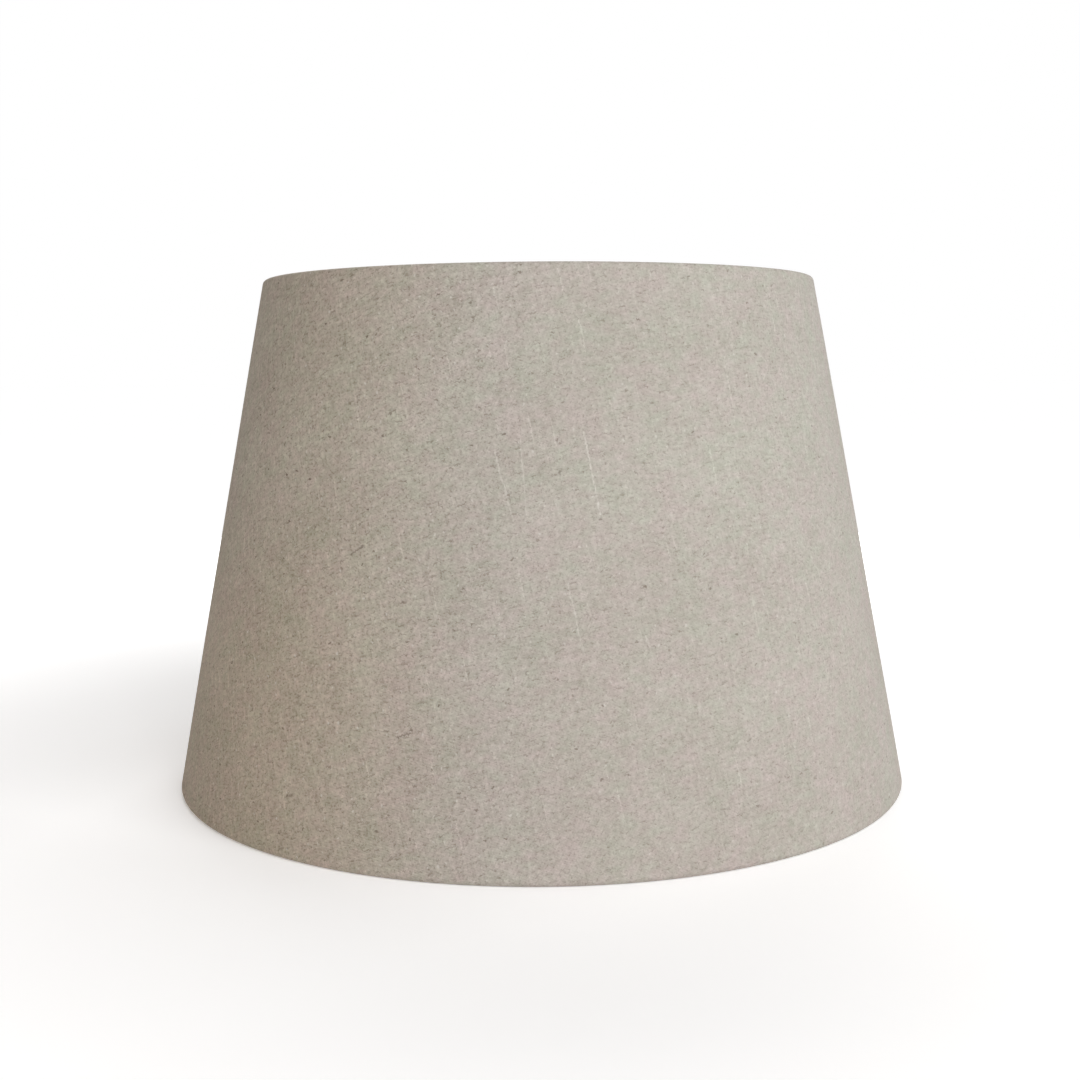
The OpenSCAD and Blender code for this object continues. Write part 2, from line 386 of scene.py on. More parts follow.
    def mix(self, factor, a, b, how="MIX"):
        node = self.tree.nodes.new("ShaderNodeMix")
        node.data_type, node.blend_type = "RGBA", how
        node.clamp_factor = True
        self.put(node.inputs[0], factor)
        for socket, value in zip((node.inputs[6], node.inputs[7]), (a, b)):
            self.put(socket, (*value, 1.0) if isinstance(value, tuple) else value)
        return node.outputs[2]

    def tinted(self, colour, tone):
        """A colour times a tone."""
        return self.mix(1.0, colour, self.vector(tone, tone, tone), "MULTIPLY")

    def bump(self, height, strength, distance):
        node = self.tree.nodes.new("ShaderNodeBump")
        node.inputs["Strength"].default_value = strength
        node.inputs["Distance"].default_value = distance
        self.put(node.inputs["Height"], height)
        return node.outputs[0]

    def set(self, **values):
        """Put values or node outputs into the shader, and give the finished material."""
        names = {"colour": "Base Color", "roughness": "Roughness", "normal": "Normal", "metallic": "Metallic",
                 "sheen": "Sheen Weight", "sheen_roughness": "Sheen Roughness", "sheen_tint": "Sheen Tint",
                 "specular": "Specular IOR Level", "subsurface": "Subsurface Weight",
                 "subsurface_scale": "Subsurface Scale"}
        for name, value in values.items():
            if isinstance(value, tuple) and len(value) == 3 and name in ("colour", "sheen_tint"):
                value = (*value, 1.0)
            self.put(self.shader.inputs[names[name]], value)
        return self.material


# ---------------------------------------------------------------- materials

LINEN_COLOUR = (0.534, 0.498, 0.441)
LEFT_AZ = math.radians(-68)  # the middle of the left of the front, away from the key light, where painted shade makes the cloth browner and its grain coarser
WARP_PITCH = 0.62
WEFT_PITCH = 0.68
# Single faults that stand out from the rest, each placed by (azimuth in degrees, height up the wall in mm).
# Pale thick threads: both ends, and how strongly they show
PALE_THREADS = [((7, 200), (9, 162), 0.55), ((-7, 192), (-4, 160), 0.42), ((-3, 197), (-2, 163), 0.32),
                ((4, 132), (6, 99), 0.36), ((15, 107), (16, 96), 0.38)]
# Dark fibres: both ends
DARK_FIBRES = [((-30, 142), (-28, 147)), ((-20, 61), (-18, 63))]
# Dark flecks: their middles
DARK_FLECKS = [(9, 160), (3, 182), (15, 181), (9, 137), (-17, 130), (-11, 129), (-2, 92), (-26, 70),
               (-27, 36), (-35, 44)]


def single_faults(f, cloth, place, colour):
    """The linen's colour with the faults that stand out laid over it. place is cloth with ragged edges."""
    def at(mark):
        return tuple(float(x) / MM for x in flat_uv(mark[1] * MM, np.radians(float(mark[0]))))

    beads = f.noise(cloth, 2.4, 0.0, offset=(13, 29, 0))
    for start, end, strength in PALE_THREADS:
        pale = f.times(f.near(place, at(start), at(end), 0.55), f.math("MULTIPLY_ADD", beads, 0.50, 1.00))
        colour = f.mix(f.times(pale, strength), colour, (0.74, 0.71, 0.66))
    for start, end in DARK_FIBRES:
        dark = f.near(place, at(start), at(end), 0.55)
        colour = f.mix(f.times(dark, 0.62), colour, (0.20, 0.16, 0.13))
    for k, spot in enumerate(DARK_FLECKS):
        x, y = at(spot)
        lean = 0.7 * math.sin(2.4 * k)
        half = 0.60 + 0.18 * math.cos(k)
        dark = f.near(place, (x - 0.4, y - lean * 0.4), (x + 0.4, y + lean * 0.4), half)
        colour = f.mix(f.times(dark, 0.45), colour, (0.16, 0.12, 0.09))
    return colour


def linen():
    """Natural slub linen in plain weave: uneven yarns, dark shive flecks and pale thick threads."""
    f = Finish("linen")
    place = f.flat_mm()
    # the yarns wander a little
    u, v, _ = f.split(place)
    u = f.add(u, f.times(f.noise(place, 14.0, 0.0), 0.28))
    v = f.add(v, f.times(f.noise(place, 14.0, 0.0, offset=(31, 7, 0)), 0.28))
    cloth = f.vector(u, v)
    # leftward is the cosine of the angle from LEFT_AZ; the grain and the marks are painted with more contrast
    # towards it, as painted shading of their relief under the raking key light
    x, y, z = f.split(f.solid_mm())
    leftward = f.math("DIVIDE", f.add(f.times(x, math.sin(LEFT_AZ)), f.times(y, -math.cos(LEFT_AZ))),
                      f.math("SQRT", f.add(f.times(x, x), f.times(y, y))))
    painted_relief_contrast = f.ramp(leftward, 0.1, 1.0, 0.84, 1.28)

    # plain weave: each yarn's ridge, and which of the two lies on top
    warp_turn, weft_turn = f.times(u, TAU / WARP_PITCH), f.times(v, TAU / WEFT_PITCH)
    warp_ridge = f.math("MULTIPLY_ADD", f.math("COSINE", warp_turn), 0.5, 0.5)
    weft_ridge = f.math("MULTIPLY_ADD", f.math("COSINE", weft_turn), 0.5, 0.5)
    checks = f.times(f.math("COSINE", f.times(warp_turn, 0.5)), f.math("COSINE", f.times(weft_turn, 0.5)))
    over = f.math("MULTIPLY_ADD", checks, 0.5, 0.5)
    under = f.math("SUBTRACT", 1.0, over)
    weave = f.add(f.times(warp_ridge, over), f.times(weft_ridge, under))

    # tone of single yarns, long along the yarn and even across it, and of the cloth at several scales, with
    # painted shade: the weave's ridges lighter and its hollows darker
    warp_yarn = f.vector(f.math("SNAP", f.add(u, WARP_PITCH / 2), WARP_PITCH), v)
    weft_yarn = f.vector(u, f.math("SNAP", f.add(v, WEFT_PITCH / 2), WEFT_PITCH))
    warp_tone = f.noise(warp_yarn, (1.3, 15.0, 1), 1.0, 0.6)
    weft_tone = f.noise(weft_yarn, (6.0, 1.3, 1), 1.0, 0.6, offset=(5, 11, 0))
    yarns = f.add(f.times(f.times(warp_tone, over), 0.080), f.times(f.times(weft_tone, under), 0.105))
    fine_grain = f.noise(cloth, 1.6, 1.0, 0.5, offset=(3, 41, 0))
    soft_grain = f.noise(cloth, 3.4, 1.0, 0.6, offset=(17, 2, 0))
    patch = f.noise(cloth, (16.0, 11.0, 1), 2.0, 0.6, offset=(9, 23, 0))
    cloudy = f.noise(cloth, 55.0, 1.0, 0.5, offset=(19, 13, 0))
    tone = f.add(1.0, yarns, f.times(fine_grain, 0.070), f.times(soft_grain, 0.070), f.times(patch, 0.042),
                 f.times(cloudy, 0.028), f.times(f.math("SUBTRACT", weave, 0.5), 0.22))

    # short dark lengths of weft, painted shade in small gaps between the yarns, and pale slubs in the warp
    speckle = f.noise(cloth, 1.1, 0.0, 0.5, offset=(61, 13, 0))
    ragged = f.vector(f.add(u, f.times(fine_grain, 0.35)), f.add(v, f.times(speckle, 0.30)))
    dashes = f.ramp(f.noise(ragged, (3.2, 0.80, 1), 1.0, 0.5, offset=(2, 77, 0)), 0.50, 1.05)
    dashes = f.times(dashes, f.math("MULTIPLY_ADD", weft_ridge, -0.23, -0.08))
    tone = f.times(tone, f.math("ADD", dashes, 1.0))
    painted_gap_shade = f.times(f.ramp(speckle, 0.45, 1.05), f.math("MULTIPLY_ADD", weave, 0.30, -0.30))
    tone = f.times(tone, f.math("ADD", painted_gap_shade, 1.0))
    slub, slub_chance = f.marks(ragged, (10, 34), (0.36, 9.0), 0.30, offset=(0.3, 0.6, 0))
    slub_2, _ = f.marks(ragged, (4.6, 17), (0.42, 4.6), 0.36, offset=(4.3, 2.6, 0))
    tone = f.times(tone, f.math("MULTIPLY_ADD", slub, f.math("MULTIPLY_ADD", slub_chance, 0.13, 0.05), 1.0))
    tone = f.times(tone, f.math("MULTIPLY_ADD", slub_2, 0.055, 1.0))

    warm = f.noise(cloth, (9.0, 5.5, 1), 1.0, 0.5, offset=(71, 3, 0))
    wide_warm = f.noise(cloth, 30.0, 1.0, 0.6, offset=(7, 43, 0))
    colour = f.mix(f.math("MULTIPLY_ADD", f.add(warm, f.times(wide_warm, 0.75)), 0.36, 0.5, clamp=True),
                   (LINEN_COLOUR[0] * 0.964, LINEN_COLOUR[1] * 1.016, LINEN_COLOUR[2] * 0.978),
                   (LINEN_COLOUR[0] * 1.036, LINEN_COLOUR[1] * 0.984, LINEN_COLOUR[2] * 1.020))
    # painted shade: a browner tint on the left of the front, away from the key, more so lower down; and a
    # painted tint of the light, pinker, over all of it lower down
    lower = f.ramp(z, 190.0, 60.0)
    painted_shade_brown = f.times(f.ramp(leftward, 0.45, 0.97), f.math("MULTIPLY_ADD", lower, 0.40, 0.60))
    colour = f.mix(painted_shade_brown, colour, f.mix(1.0, colour, (1.0, 0.94, 0.83), "MULTIPLY"))
    colour = f.mix(lower, colour, f.mix(1.0, colour, (1.0, 0.983, 0.99), "MULTIPLY"))
    # the grain is of lightness and not of hue, so the darker channels swing further; its swing is painted
    # stronger on the left, away from the key, as painted shading of the relief
    swing = f.times(f.math("SUBTRACT", tone, 1.0), painted_relief_contrast)
    tones = f.vector(*(f.math("MULTIPLY_ADD", swing, share, 1.0) for share in (0.95, 1.02, 1.13)))
    colour = f.mix(1.0, colour, tones, "MULTIPLY")

    # scattered dark marks, and a few pale specks, each painted stronger on the left, away from the key, as
    # painted shading
    weft_slub, _ = f.marks(ragged, (10, 4.6), (2.2, 0.34), 0.34, offset=(2.1, 8.4, 0), lean=0.25)
    weft_slub = f.times(f.times(weft_slub, painted_relief_contrast), 0.40)
    colour = f.mix(weft_slub, colour, (0.22, 0.175, 0.135))
    fleck, fleck_chance = f.marks(ragged, (8.0, 8.0), (1.05, 0.48), 0.22, offset=(0.9, 5.2, 0), lean=0.9)
    fleck = f.times(f.times(fleck, painted_relief_contrast), f.math("MULTIPLY_ADD", fleck_chance, 0.50, 0.18))
    colour = f.mix(fleck, colour, (0.165, 0.120, 0.088))
    small, small_chance = f.marks(ragged, (3.4, 3.4), (0.66, 0.42), 0.36, offset=(7.7, 1.1, 0), lean=0.6)
    small = f.times(f.times(small, painted_relief_contrast), f.math("MULTIPLY_ADD", small_chance, 0.36, 0.12))
    colour = f.mix(small, colour, (0.22, 0.175, 0.135))
    speck, speck_chance = f.marks(ragged, (5.2, 5.2), (0.46, 0.62), 0.40, offset=(3.7, 9.1, 0), lean=0.4)
    speck = f.times(f.times(speck, painted_relief_contrast), f.math("MULTIPLY_ADD", speck_chance, 0.34, 0.16))
    colour = f.mix(speck, colour, (0.76, 0.74, 0.70))
    colour = single_faults(f, cloth, ragged, colour)

    height = f.add(weave, f.times(fine_grain, 0.20), f.times(slub, 0.8), f.times(yarns, 2.0))
    return f.set(colour=colour, normal=f.bump(height, 0.6, 0.00016),
                 roughness=f.math("MULTIPLY_ADD", fine_grain, 0.03, 0.90),
                 sheen=0.10, sheen_roughness=0.45, sheen_tint=(1.0, 0.97, 0.92), specular=0.20)


def lining_plastic():
    """White styrene sheet with a satin calendered face and faint handling marks."""
    f = Finish("lining")
    place = f.solid_mm()
    cloudy = f.noise(place, 40.0, 3.0, 0.5, flat=False)
    grit = f.noise(place, 0.8, 2.0, 0.6, flat=False)
    colour = f.tinted((0.88, 0.865, 0.83), f.add(1.0, f.times(cloudy, 0.012), f.times(grit, 0.008)))
    return f.set(colour=colour, roughness=f.math("MULTIPLY_ADD", cloudy, 0.05, 0.46),
                 normal=f.bump(f.add(cloudy, f.times(grit, 0.05)), 0.25, 0.0002), specular=0.45,
                 subsurface=0.15, subsurface_scale=0.002)


def tape_film():
    """Thin paper-backed tape, creased across its length."""
    f = Finish("tape")
    place = f.solid_mm()
    crease = f.noise(place, 1.6, 3.0, 0.6, flat=False)
    # the colour follows the crease height: painted shade in the hollows of the creases, lighter on their
    # ridges
    colour = f.tinted((0.74, 0.70, 0.58), f.math("MULTIPLY_ADD", crease, 0.05, 1.0))
    return f.set(colour=colour, roughness=f.math("MULTIPLY_ADD", crease, 0.06, 0.55),
                 normal=f.bump(crease, 0.4, 0.0001))


def powder_coat():
    """White powder coat with a fine orange peel, thin and greyer where it has been rubbed."""
    f = Finish("coated_wire")
    place = f.solid_mm()
    peel = f.noise(place, 0.7, 2.0, 0.5, flat=False)
    worn = f.ramp(f.noise(place, 6.0, 4.0, 0.65, flat=False), 0.9, 1.5)
    colour = f.mix(worn, f.tinted((0.80, 0.80, 0.775), f.math("MULTIPLY_ADD", peel, 0.01, 1.0)),
                   (0.52, 0.52, 0.51))
    return f.set(colour=colour, roughness=f.add(0.36, f.times(worn, 0.15), f.times(peel, 0.02)),
                 normal=f.bump(peel, 0.35, 0.00008), specular=0.5)


def zinc_plate():
    """Bright zinc plate with drawn lines and a slightly blotched passivation."""
    f = Finish("plated_steel")
    place = f.solid_mm()
    drawn = f.noise(place, (0.12, 0.12, 3.0), 2.0, 0.5, flat=False)
    blotch = f.noise(place, 2.2, 3.0, 0.6, flat=False)
    colour = f.mix(f.math("MULTIPLY_ADD", blotch, 0.25, 0.5, clamp=True), (0.60, 0.615, 0.64),
                   (0.68, 0.67, 0.62))
    return f.set(colour=colour, metallic=1.0,
                 roughness=f.add(0.30, f.times(blotch, 0.05), f.times(drawn, 0.03)),
                 normal=f.bump(drawn, 0.3, 0.00003))


def moulded_nylon():
    """White moulded nylon, a little milky, with faint flow lines and a fine spark-eroded skin."""
    f = Finish("reducer")
    place = f.solid_mm()
    flow = f.noise(place, (9.0, 9.0, 2.0), 3.0, 0.5, flat=False)
    skin = f.noise(place, 0.25, 2.0, 0.5, flat=False)
    colour = f.tinted((0.84, 0.84, 0.82), f.math("MULTIPLY_ADD", flow, 0.012, 1.0))
    return f.set(colour=colour, roughness=f.math("MULTIPLY_ADD", flow, 0.04, 0.42),
                 normal=f.bump(skin, 0.2, 0.00004), subsurface=0.25, subsurface_scale=0.0015, specular=0.5)


# ---------------------------------------------------------------- the cover


def columns_of_azimuth():
    """Azimuths round the shade from the back seam and back to it, closer together beside the lugs."""
    even = np.linspace(-math.pi, math.pi, 577)
    edge = NOTCH_HALF / (TOP_WIRE[0] - ROLL_R)
    close = np.concatenate([side + s * edge + np.linspace(-1, 1, 9) * 0.35 * MM / TOP_WIRE[0]
                            for side in (-math.pi / 2, math.pi / 2) for s in (-1, 1)])
    far = [a for a in even if np.abs(close - a).min() > 0.5 * MM / TOP_WIRE[0]]
    return np.sort(np.concatenate([far, close]))


def cover_rows(azimuth):
    """Local (out, up) points of the cloth's section for each azimuth, as a closed loop, and how far up the
    cloth each one lies."""
    pucker, wander = waves(5, 14, 90, 230), waves(9, 8, 20, 90)
    swell, ripple = waves(3, 9, 2, 8), waves(4, 10, 9, 26)
    notch = 1 - smooth(np.abs(np.abs(np.abs(azimuth) - math.pi / 2) * (TOP_WIRE[0] - ROLL_R)),
                       NOTCH_HALF - 0.15 * MM, NOTCH_HALF + 0.15 * MM)
    seam = smooth((math.pi - np.abs(azimuth)) * TOP_WIRE[0], LAP_W / 2 + 2 * MM, LAP_W / 2 + 12 * MM)
    az = azimuth[:, None]

    def hem(radius, steps, top):
        where, base, side = (0.1, SLANT, 1) if top else (0.0, 0, -1)
        end = TUCK_DEG + 5 * wander(azimuth, where)
        if top:
            end = end * (1 - notch) + 140.0 * notch
        turn = np.radians(np.linspace(0, 1, steps)[None, :] * end[:, None])
        puckered = smooth(turn, math.radians(70), math.radians(150)) * (0.06 * MM * pucker(az, where))
        reach = radius + puckered
        points = np.stack([reach * np.cos(turn), side * reach * np.sin(turn) + base], -1)
        return points, base + side * radius * turn

    def wall(radius, steps):
        up = np.linspace(0, SLANT, steps)[None, :][:, 1:-1] + 0 * az
        ends = smooth(up, 0, 30 * MM) * smooth(SLANT - up, 0, 30 * MM)
        lift = (0.5 + 0.5 * swell(az, up)) * 0.16 * MM + (0.5 + 0.5 * ripple(az, up)) * 0.05 * MM
        return np.stack([radius + np.clip(lift, 0, 0.3 * MM) * ends * seam[:, None], up], -1), up

    parts = []
    for radius, hem_steps, wall_steps, order in ((ROLL_R, 27, 32, 1), (HEM_IN_R, 15, 10, -1)):
        low, high = hem(radius, hem_steps, False), hem(radius, hem_steps, True)
        side = wall(radius, wall_steps)
        points = np.concatenate([low[0][:, ::-1], side[0], high[0]], 1)
        along = np.concatenate([low[1][:, ::-1], side[1], high[1]], 1)
        parts.append((points[:, ::order], along[:, ::order]))
    return np.concatenate([p for p, _ in parts], 1), np.concatenate([s for _, s in parts], 1)


def build_cover(material):
    """The cloth as one closed piece: its outer and inner faces, rolled round both wires."""
    azimuth = columns_of_azimuth()
    local, along = cover_rows(azimuth)
    section = wall_point(local[..., 0], local[..., 1])
    section[..., 1] = np.maximum(section[..., 1], 0)
    points = on_axis(section[:-1, :, 0], section[:-1, :, 1], azimuth[:-1, None])
    columns, rows = points.shape[:2]
    faces = tube_faces(columns, rows)
    uv = flat_uv(along, azimuth[:, None] + 0 * along)
    uv = np.concatenate([uv, uv[:, :1]], 1)
    piece = make_piece("linen_cover", points.reshape(-1, 3), faces, "shade", material,
                       uv=tube_uv(uv), sharp_deg=55)
    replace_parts(piece, "fabric_cover")
    return piece


def build_lap(material):
    """The folded end of the cloth, glued down over its beginning at the back and rolled in with both hems."""
    hem_low = np.radians(np.linspace(-52, 0, 9))
    hem_high = np.radians(np.linspace(0, 205, 24))
    up = np.linspace(0, SLANT, 60)[1:-1]
    # each step: place across and along the wall, the way out from it there, and how far up the cloth it lies
    path = [(ROLL_R * math.cos(a), ROLL_R * math.sin(a), math.cos(a), math.sin(a), ROLL_R * a)
            for a in hem_low]
    path += [(ROLL_R, y, 1.0, 0.0, y) for y in up]
    path += [(ROLL_R * math.cos(a), SLANT + ROLL_R * math.sin(a), math.cos(a), math.sin(a),
              SLANT + ROLL_R * a) for a in hem_high]
    path = np.array(path)
    wander, plump = waves(12, 6, 4, 16), waves(13, 6, 10, 40)
    half, top = LAP_W / 2, LAP_LIFT + LAP_T
    # the lap's section: place across it, and height above the cloth
    across = [(-half + 0.45 * MM, LAP_LIFT), (half - 2.2 * MM, LAP_LIFT), (half - 1.0 * MM, 0.05 * MM),
              (half + 1.6 * MM, -0.15 * MM), (half + 1.7 * MM, 0.01 * MM), (half + 1.1 * MM, 0.14 * MM),
              (half + 0.5 * MM, 0.55 * MM), (half - 0.1 * MM, 0.98 * MM), (half - 0.8 * MM, top - 0.03 * MM),
              (half - 2.0 * MM, top), (1.5 * MM, top + 0.03 * MM), (-2.0 * MM, top + 0.03 * MM),
              (-half + 1.0 * MM, top), (-half + 0.42 * MM, top - 0.05 * MM),
              (-half + 0.12 * MM, top - 0.22 * MM), (-half, LAP_LIFT + 0.5 * LAP_T),
              (-half + 0.1 * MM, LAP_LIFT + 0.2 * LAP_T)]
    rings, places = [], []
    for out, y, nx, ny, s in path:
        flatter = 0.35 + 0.65 * float(smooth(s, -2.2 * MM, 7 * MM))
        flatter *= 1 - 0.25 * float(smooth(s, SLANT + 1 * MM, SLANT + 4 * MM))
        edge = 0.22 * MM * float(wander(0.4, s * 3))
        thick = 1 + 0.05 * float(plump(0.2, s * 3))
        ring, place = [], []
        base = wall_point(out, y)
        normal = nx * OUT + ny * UP
        for w, h in across:
            w = w + edge * float(smooth(-w, 2 * MM, 5 * MM))
            h = h * flatter * (thick if h > 0.4 * MM else 1)
            radius, height = base + normal * h
            azimuth = math.pi - w / base[0]
            ring.append([radius * math.sin(azimuth), -radius * math.cos(azimuth), max(height, 0.0)])
            place.append(flat_uv(s, azimuth))
        rings.append(np.array(ring))
        places.append(place + place[:1])
    points, faces = loft(rings)
    rows = len(rings[0])
    corners = list(tube_uv(np.array(places)))
    corners += [places[0][k] for k in range(rows)][::-1] + [places[-1][k] for k in range(rows)]
    oriented = turned_outwards(points, faces)
    if oriented[0] != faces[0]:
        sizes, start, flipped = [len(f) for f in faces], 0, []
        for n in sizes:
            flipped += corners[start:start + n][::-1]
            start += n
        corners = flipped
    piece = make_piece("linen_back_lap", points, oriented, "shade", material,
                       uv=np.array(corners), sharp_deg=60)
    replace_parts(piece, "fabric_cover")
    return piece


# ---------------------------------------------------------------- the gimbal and the pivots


def plate(hole_r, outline, thickness, edge, segments=72, extra=()):
    """A plate in the YZ plane about the pivot, from x = 0 to its thickness, with a hole and eased edges.
    outline(angle) is the distance to its outer edge, angle 0 along +Y and a quarter turn along +Z.
    extra holds more angles that the outline needs, such as its corners."""
    angles = np.unique(np.round(np.concatenate([np.arange(segments) * TAU / segments, extra]), 6))
    rings = []
    for a in angles:
        far, e = outline(a), edge
        section = [(hole_r, thickness - 0.3 * e), (hole_r + e * 0.3, thickness),
                   ((hole_r + far) / 2, thickness), (far - e, thickness),
                   (far - 0.3 * e, thickness - 0.3 * e), (far, thickness - e), (far, e),
                   (far - 0.3 * e, 0.3 * e), (far - e, 0), ((hole_r + far) / 2, 0), (hole_r + e * 0.3, 0),
                   (hole_r, 0.3 * e)]
        rings.append(np.array([[x, r * math.cos(a), r * math.sin(a)] for r, x in section]))
    return np.concatenate(rings), tube_faces(len(rings), len(rings[0]))


def build_lugs(material):
    """Drilled tabs welded to the inner side of the top ring."""
    half, rise = (LUG_HIGH.y - LUG_LOW.y) / 2, LUG_HIGH.z - PIVOT_Z

    def outline(a):
        if math.sin(a) <= 0:
            return half
        return min(half / max(abs(math.cos(a)), 1e-6), rise / math.sin(a))

    corner = math.atan2(rise, half)
    points, faces = plate(RIVET_R + 0.02 * MM, outline, LUG_HIGH.x - LUG_LOW.x, 0.3 * MM,
                          extra=(corner, math.pi - corner))
    right = Shape()
    right.add(points + np.array([LUG_LOW.x, 0, PIVOT_Z]), faces)
    for k, (dz, size) in enumerate(((0.35, 0.75), (-1.55, 0.6))):
        weld_at = (LUG_HIGH.x + 0.05 * MM, 0, TOP_WIRE[1] + dz * MM)
        right.add(*blob(weld_at, (size * MM, half * 0.92, size * MM), seed=20 + k, rings=14))
    for shape, name in ((right, "right_pivot_lug"), (right.mirrored_x(), "left_pivot_lug")):
        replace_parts(shape.piece(name + "_plate", "shade", "plated_steel", material), name)


def bent_path(corners, radius, step_deg=6):
    """Points (x, z) along straight legs joined by arcs."""
    corners = [np.array(c, float) for c in corners]
    path = [corners[0]]
    for a, b, c in zip(corners, corners[1:], corners[2:]):
        u, v = (b - a) / np.linalg.norm(b - a), (c - b) / np.linalg.norm(c - b)
        turn = math.atan2(u[0] * v[1] - u[1] * v[0], float(u @ v))
        start = b - u * radius * math.tan(abs(turn) / 2)
        normal = np.array([-u[1], u[0]]) * (1 if turn > 0 else -1)
        centre = start + normal * radius
        steps = max(2, int(round(abs(math.degrees(turn)) / step_deg)))
        for k in range(steps + 1):
            t = turn * k / steps
            cos, sin = math.cos(t), math.sin(t)
            off = start - centre
            path.append(centre + np.array([cos * off[0] - sin * off[1], sin * off[0] + cos * off[1]]))
    path.append(corners[-1])
    return path


def build_arms(material):
    """Bent wires, flattened to an eye at the pivot and welded down on the fitter ring."""
    wire_r, eye_r, eye_t, bend_r = 1.75 * MM, 5.0 * MM, 1.6 * MM, 8.0 * MM
    eye_out = ARM_HIGH.x
    arm_x = eye_out - wire_r - 0.15 * MM
    foot_z = FITTER_HIGH.z + wire_r + 0.02 * MM
    foot_x = ARM_LOW.x
    path = bent_path([(arm_x, PIVOT_Z - 10.5 * MM), (arm_x, PIVOT_Z - 16 * MM), (foot_x + 13 * MM, foot_z),
                      (foot_x, foot_z)], bend_r)
    # the flattened neck, from inside the eye down to the round wire: place, half thickness, half width
    neck = [(PIVOT_Z - 3.0 * MM, 0.70, 3.6), (PIVOT_Z - 4.4 * MM, 0.74, 3.5),
            (PIVOT_Z - 5.6 * MM, 0.80, 3.0), (PIVOT_Z - 6.8 * MM, 0.95, 2.5),
            (PIVOT_Z - 8.0 * MM, 1.25, 2.1), (PIVOT_Z - 9.2 * MM, 1.60, 1.85)]
    eye_mid = eye_out - eye_t / 2
    segments = 24
    turn = np.arange(segments) * TAU / segments
    rings = []
    for k, (z, thick, wide) in enumerate(neck):
        t = k / len(neck)
        centre_x = eye_mid * (1 - t) + arm_x * t
        power = 0.62 + 0.38 * t
        c, s = np.cos(turn), np.sin(turn)
        squared = np.sign(c) * np.abs(c) ** power, np.sign(s) * np.abs(s) ** power
        rings.append(np.stack([centre_x + thick * MM * squared[0], wide * MM * squared[1], z + 0 * turn], -1))
    for k, p in enumerate(path):
        ahead = path[min(k + 1, len(path) - 1)] - path[max(k - 1, 0)]
        ahead = ahead / np.linalg.norm(ahead)
        side = np.array([-ahead[1], ahead[0]])
        rings.append(np.stack([p[0] + wire_r * np.cos(turn) * side[0], wire_r * np.sin(turn),
                               p[1] + wire_r * np.cos(turn) * side[1]], -1))
    # the wire's end, rounded off over its last 0.7 mm
    last = rings[-1].copy()
    for shrink, reach in ((0.92, 0.25), (0.72, 0.5), (0.4, 0.65)):
        end = last.copy()
        end[:, 1] *= shrink
        end[:, 2] = foot_z + (last[:, 2] - foot_z) * shrink
        end[:, 0] = foot_x - reach * MM + 0.66 * MM
        rings.append(end)
    rings[-4][:, 0] = foot_x + 0.7 * MM
    right = Shape()
    right.add(*loft(rings))
    eye, faces = plate(RIVET_R + 0.06 * MM, lambda a: eye_r, eye_t, 0.35 * MM)
    right.add(eye + np.array([eye_out - eye_t, 0, PIVOT_Z]), faces)
    for k, y in enumerate((-1.35, 1.35)):
        weld_at = (foot_x + 3.6 * MM, y * MM, FITTER_HIGH.z + 0.25 * MM)
        right.add(*blob(weld_at, (2.9 * MM, 0.8 * MM, 0.75 * MM), seed=30 + k, rings=10))
    for shape, name in ((right, "right_gimbal_arm"), (right.mirrored_x(), "left_gimbal_arm")):
        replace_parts(shape.piece(name + "_wire", "gimbal", "coated_wire", material, sharp_deg=50), name)


def build_fitter(material):
    """Pressed steel ring with a turned-down collar round its hole."""
    hole_r, t = 21.0 * MM, 1.2 * MM
    top, low, rim = FITTER_HIGH.z, FITTER_LOW.z, FITTER_HIGH.x
    corners = [(hole_r, top), (rim, top), (rim, top - t), (hole_r + t, top - t), (hole_r + t, low),
               (hole_r, low)]
    radii = [0.9, 0.58, 0.58, 0.5, 0.3, 0.3]
    ring = Shape()
    ring.add(*lathe(rounded_loop(corners, [r * MM for r in radii], 5), 144))
    piece = ring.piece("fitter_ring_pressing", "gimbal", "coated_wire", material, sharp_deg=50)
    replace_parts(piece, "fitter_ring")


def build_reducer(material):
    """Moulded ring that drops into the fitter ring's hole: flange, inner and outer skirts, ribs between."""
    hole_r, wall, flange_t, ribs, rib_t = 14.5 * MM, 1.4 * MM, 1.6 * MM, 8, 1.2 * MM
    spigot_r = 20.8 * MM
    top, low, rim = REDUCER_HIGH.z, REDUCER_LOW.z, REDUCER_HIGH.x
    seat = top - flange_t
    corners = [(hole_r, top), (rim, top), (rim, seat), (spigot_r, seat), (spigot_r, low),
               (spigot_r - wall, low), (spigot_r - wall, seat), (hole_r + wall, seat), (hole_r + wall, low),
               (hole_r, low)]
    radii = [0.5, 0.75, 0.75, 0.1, 0.4, 0.3, 0.3, 0.3, 0.3, 0.4]
    ring = Shape()
    ring.add(*lathe(rounded_loop(corners, [r * MM for r in radii], 4), 144))
    x0, x1 = hole_r + wall / 2, spigot_r - wall / 2
    z0, z1 = low + 1 * MM, seat + flange_t / 2
    for k in range(ribs):
        a = (k + 0.5) * TAU / ribs
        rib = rounded_loop([(-rib_t / 2, z0), (rib_t / 2, z0), (rib_t / 2, z1), (-rib_t / 2, z1)],
                           [0.3 * MM, 0.3 * MM, 0, 0], 3)
        cos, sin = math.cos(a), math.sin(a)
        sections = [np.array([[x * cos - y * sin, x * sin + y * cos, z] for y, z in rib])
                    for x in (x0, (x0 + x1) / 2, x1)]
        ring.add(*loft(sections))
    piece = ring.piece("reducer_ring_moulding", "reducer", "reducer", material, sharp_deg=50)
    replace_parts(piece, "reducer_ring")


def repaint(node, material):
    """Give a carried-over CAD node this material in its only slot."""
    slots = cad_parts[node].data.materials
    slots.clear()
    slots.append(material)


# ---------------------------------------------------------------- stage, lights and camera

